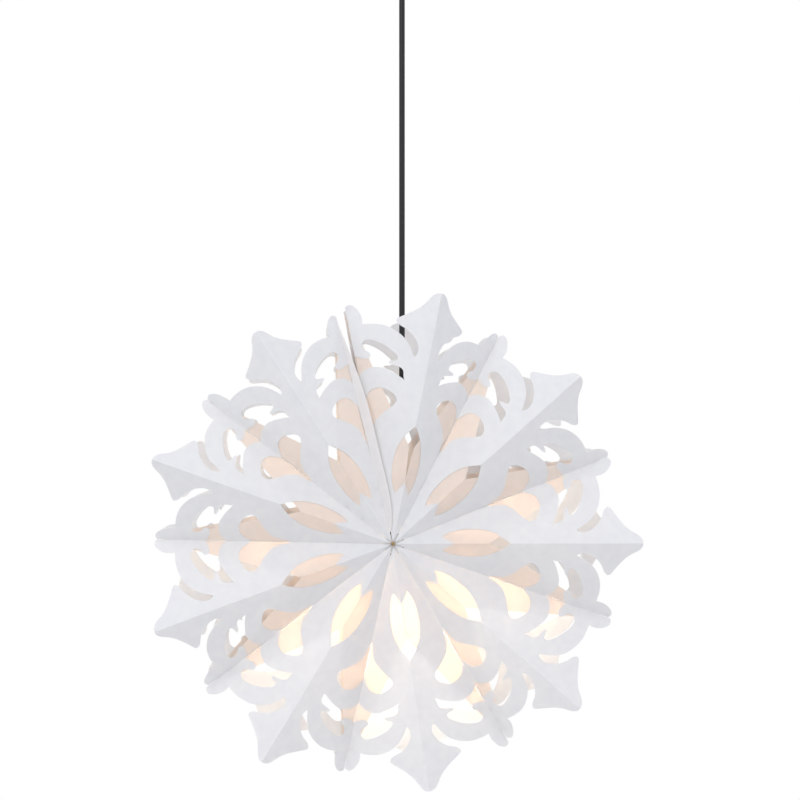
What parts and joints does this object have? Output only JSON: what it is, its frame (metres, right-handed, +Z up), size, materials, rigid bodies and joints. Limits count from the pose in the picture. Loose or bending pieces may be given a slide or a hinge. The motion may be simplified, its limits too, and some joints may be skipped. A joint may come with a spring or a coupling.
{
  "type": "paper snowflake star lantern",
  "caption": "Hanging paper star lantern: pleated cut-paper rays round a lamp on a cord, folding up like a fan.",
  "frame": {"origin": "middle of the ceiling bracket's top face, on the ceiling, in line with the cord", "axes": "+Z up, the star's front faces -Y, +X to the right seen from the front"},
  "size_m": [0.4915, 0.1814, 0.8861],
  "materials": {
    "star_paper": "matt white card cut in a pattern",
    "lining_paper": "thin translucent paper",
    "panel_paper": "matt white paper, two sheets glued",
    "hub_card": "plain card",
    "brass_wire": "drawn brass wire",
    "hook_and_loop": "white hook and loop tape",
    "cord_pvc": "black sheath",
    "black_plastic": "moulded, satin",
    "white_plastic": "moulded, satin",
    "insulator": "moulded, matt",
    "contact_brass": "pressed brass",
    "cap_nickel": "nickel plate",
    "opal_glass": "opal white, lit",
    "zinc_steel": "zinc plated"
  },
  "bodies": {
    "suspension": {"ceiling_bracket": "zinc_steel", "terminal_block": "white_plastic", "cord": "cord_pvc", "holder_cap": "black_plastic", "holder_shell": "black_plastic", "holder_insert": "insulator", "thread_sleeve": "contact_brass", "contact_tongue": "contact_brass"},
    "canopy": {"ceiling_cup": "white_plastic", "cord_grip": "black_plastic", "grip_nut": "black_plastic", "grip_screw": "white_plastic"},
    "bulb": {"bulb_globe": "opal_glass", "bulb_cap": "cap_nickel", "bulb_contact": "contact_brass"},
    "star": {"ray_1": "star_paper", "lining_1": "lining_paper", "seam_panel_1": "panel_paper", "seam_panel_2": "panel_paper", "front_hub": "hub_card", "back_hub": "hub_card", "spreader_wire": "brass_wire", "hook_dots": "hook_and_loop"},
    "fan_2": {"ray_2": "star_paper", "lining_2": "lining_paper", "seam_panel_3": "panel_paper"},
    "fan_3": {"ray_3": "star_paper", "lining_3": "lining_paper", "seam_panel_4": "panel_paper"},
    "fan_4": {"ray_4": "star_paper", "lining_4": "lining_paper", "seam_panel_5": "panel_paper"},
    "fan_5": {"ray_5": "star_paper", "lining_5": "lining_paper", "seam_panel_6": "panel_paper"},
    "fan_6": {"ray_6": "star_paper", "lining_6": "lining_paper", "seam_panel_7": "panel_paper"},
    "fan_7": {"ray_7": "star_paper", "lining_7": "lining_paper", "seam_panel_8": "panel_paper"},
    "fan_8": {"ray_8": "star_paper", "lining_8": "lining_paper", "seam_panel_9": "panel_paper"},
    "fan_9": {"ray_9": "star_paper", "lining_9": "lining_paper", "seam_panel_10": "panel_paper", "loop_dots": "hook_and_loop", "closing_tab": "panel_paper"}
  },
  "joints": [
    {"name": "star_spin", "type": "hinge", "parent": "suspension", "child": "star", "pos_m": [0, 0, -0.64], "axis": [0, 0, 1], "range_deg": [-180, 180]},
    {"name": "bulb_turn", "type": "hinge", "parent": "suspension", "child": "bulb", "pos_m": [0, 0, -0.64], "axis": [0, 0, 1], "range_deg": [0, 90]},
    {"name": "cup_slide", "type": "slide", "parent": "suspension", "child": "canopy", "axis": [0, 0, -1], "range_m": [0, 0.06]},
    {"name": "fold_2", "type": "hinge", "parent": "star", "child": "fan_2", "pos_m": [-0.013, 0, -0.64], "axis": [0, 1, 0], "range_deg": [-36.5, 0], "deforming": ["ray_2", "lining_2"]},
    {"name": "fold_3", "type": "hinge", "parent": "fan_2", "child": "fan_3", "pos_m": [-0.013, 0, -0.64], "axis": [0, 1, 0], "range_deg": [-36.02, 0], "deforming": ["ray_3", "lining_3"]},
    {"name": "fold_4", "type": "hinge", "parent": "fan_3", "child": "fan_4", "pos_m": [-0.013, 0, -0.64], "axis": [0, 1, 0], "range_deg": [-35.72, 0], "deforming": ["ray_4", "lining_4"]},
    {"name": "fold_5", "type": "hinge", "parent": "fan_4", "child": "fan_5", "pos_m": [-0.013, 0, -0.64], "axis": [0, 1, 0], "range_deg": [-37.72, 0], "deforming": ["ray_5", "lining_5"]},
    {"name": "fold_6", "type": "hinge", "parent": "fan_5", "child": "fan_6", "pos_m": [-0.013, 0, -0.64], "axis": [0, 1, 0], "range_deg": [-35.72, 0], "deforming": ["ray_6", "lining_6"]},
    {"name": "fold_7", "type": "hinge", "parent": "fan_6", "child": "fan_7", "pos_m": [-0.013, 0, -0.64], "axis": [0, 1, 0], "range_deg": [-34.32, 0], "deforming": ["ray_7", "lining_7"]},
    {"name": "fold_8", "type": "hinge", "parent": "fan_7", "child": "fan_8", "pos_m": [-0.013, 0, -0.64], "axis": [0, 1, 0], "range_deg": [-32.52, 0], "deforming": ["ray_8", "lining_8"]},
    {"name": "fold_9", "type": "hinge", "parent": "fan_8", "child": "fan_9", "pos_m": [-0.013, 0, -0.64], "axis": [0, 1, 0], "range_deg": [-34.12, 0], "deforming": ["ray_9", "lining_9"]}
  ],
  "couplings": [
    {"joint": "fold_3", "follows": "fold_2", "ratio": 0.9863},
    {"joint": "fold_4", "follows": "fold_2", "ratio": 0.97808},
    {"joint": "fold_5", "follows": "fold_2", "ratio": 1.0329},
    {"joint": "fold_6", "follows": "fold_2", "ratio": 0.97808},
    {"joint": "fold_7", "follows": "fold_2", "ratio": 0.93973},
    {"joint": "fold_8", "follows": "fold_2", "ratio": 0.89041},
    {"joint": "fold_9", "follows": "fold_2", "ratio": 0.93425}
  ]
}
